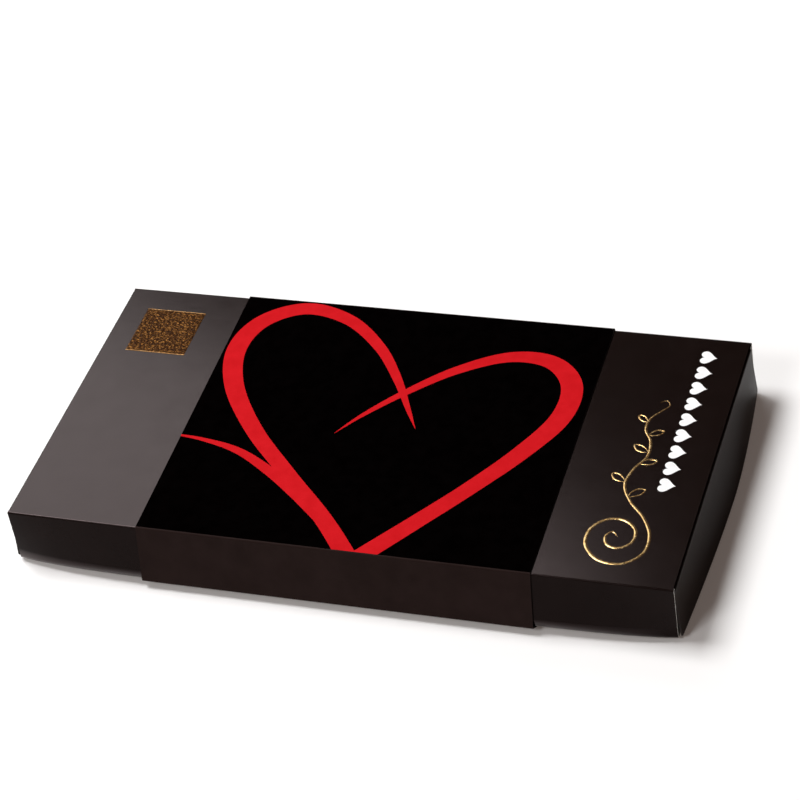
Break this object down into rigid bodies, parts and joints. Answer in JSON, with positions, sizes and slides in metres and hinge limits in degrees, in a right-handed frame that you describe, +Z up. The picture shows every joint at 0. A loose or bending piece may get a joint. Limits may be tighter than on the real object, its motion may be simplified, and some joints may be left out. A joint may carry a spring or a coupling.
{
  "type": "sliding chocolate gift box",
  "caption": "Flat black slide box with a loose printed band; its drawer pulls out endways and holds chocolates in fluted cups between slotted dividers.",
  "frame": {"origin": "middle of the band's underside, on which the box stands", "axes": "+X along the box's length, the way the drawer comes out; +Y to the back; +Z up, the shortest way through the box"},
  "size_m": [0.3424, 0.1886, 0.0337],
  "materials": {
    "shell_board": "satin",
    "band_print": "satin",
    "tray_board": "satin",
    "divider_board": "matte",
    "cup_paper": "matte",
    "dark_chocolate": "satin",
    "red_chocolate": "satin",
    "milk_chocolate": "satin"
  },
  "bodies": {
    "shell": {"outer_shell": "shell_board"},
    "band": {"printed_band": "band_print"},
    "drawer": {"drawer_tray": "tray_board", "long_divider_1": "divider_board", "long_divider_2": "divider_board", "cross_divider_1": "divider_board", "cross_divider_2": "divider_board", "cross_divider_3": "divider_board", "cross_divider_4": "divider_board", "cross_divider_5": "divider_board", "paper_cup_1": "cup_paper", "paper_cup_2": "cup_paper", "paper_cup_3": "cup_paper", "paper_cup_4": "cup_paper", "paper_cup_5": "cup_paper", "paper_cup_6": "cup_paper", "paper_cup_7": "cup_paper", "paper_cup_8": "cup_paper", "paper_cup_9": "cup_paper", "paper_cup_10": "cup_paper", "paper_cup_11": "cup_paper", "paper_cup_12": "cup_paper", "paper_cup_13": "cup_paper", "paper_cup_14": "cup_paper", "paper_cup_15": "cup_paper", "paper_cup_16": "cup_paper", "paper_cup_17": "cup_paper", "paper_cup_18": "cup_paper", "dome_chocolate_1": "dark_chocolate", "dome_chocolate_2": "dark_chocolate", "dome_chocolate_3": "dark_chocolate", "dome_chocolate_4": "dark_chocolate", "dome_chocolate_5": "dark_chocolate", "dome_chocolate_6": "dark_chocolate", "heart_chocolate_1": "red_chocolate", "heart_chocolate_2": "red_chocolate", "heart_chocolate_3": "red_chocolate", "heart_chocolate_4": "red_chocolate", "heart_chocolate_5": "red_chocolate", "heart_chocolate_6": "red_chocolate", "square_chocolate_1": "milk_chocolate", "square_chocolate_2": "milk_chocolate", "square_chocolate_3": "milk_chocolate", "square_chocolate_4": "milk_chocolate", "square_chocolate_5": "milk_chocolate", "square_chocolate_6": "milk_chocolate"}
  },
  "joints": [
    {"name": "band_slide", "type": "slide", "parent": "shell", "child": "band", "axis": [1, 0, 0], "range_m": [-0.275, 0.275]},
    {"name": "drawer_slide", "type": "slide", "parent": "shell", "child": "drawer", "axis": [1, 0, 0], "range_m": [-0.34, 0.34]}
  ]
}
